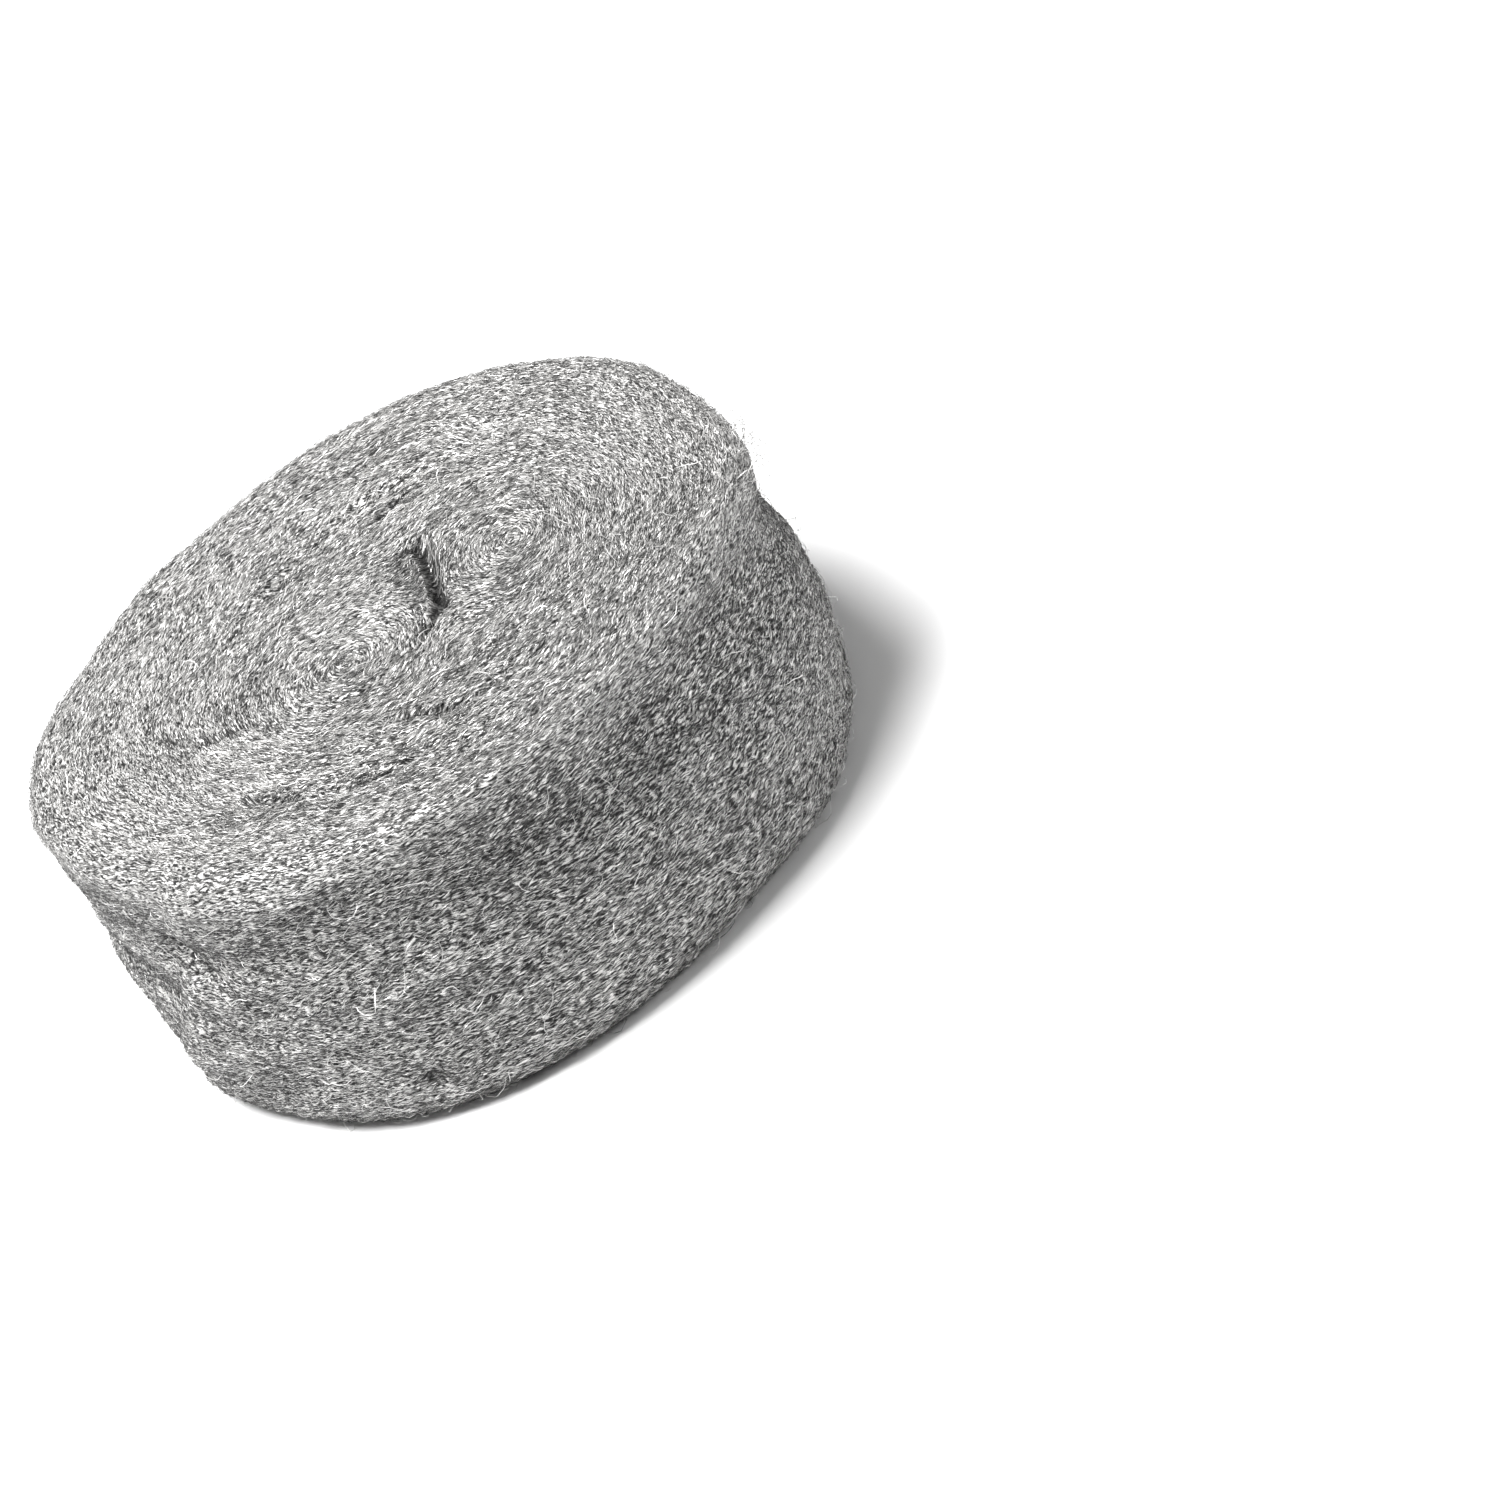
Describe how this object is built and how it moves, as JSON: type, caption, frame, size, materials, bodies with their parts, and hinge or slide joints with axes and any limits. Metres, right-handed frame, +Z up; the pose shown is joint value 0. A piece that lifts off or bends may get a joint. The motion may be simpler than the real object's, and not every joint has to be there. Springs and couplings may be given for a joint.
{
  "type": "steel wool roll",
  "caption": "Squat round roll of matted steel wool ribbon, wound on itself from a folded core; pieces are torn off for scouring, rubbing down and polishing.",
  "frame": {"origin": "middle of the roll's outline, on the flat face that it lies on", "axes": "+Z up along the winding axis, -Y towards the front, +X to the right seen from the front"},
  "size_m": [0.121, 0.1226, 0.048],
  "materials": {
    "steel_wool": "matted fine grey steel fibre lying along the winding, with small bright glints"
  },
  "bodies": {
    "root": {"wool_roll": "steel_wool"}
  },
  "joints": []
}
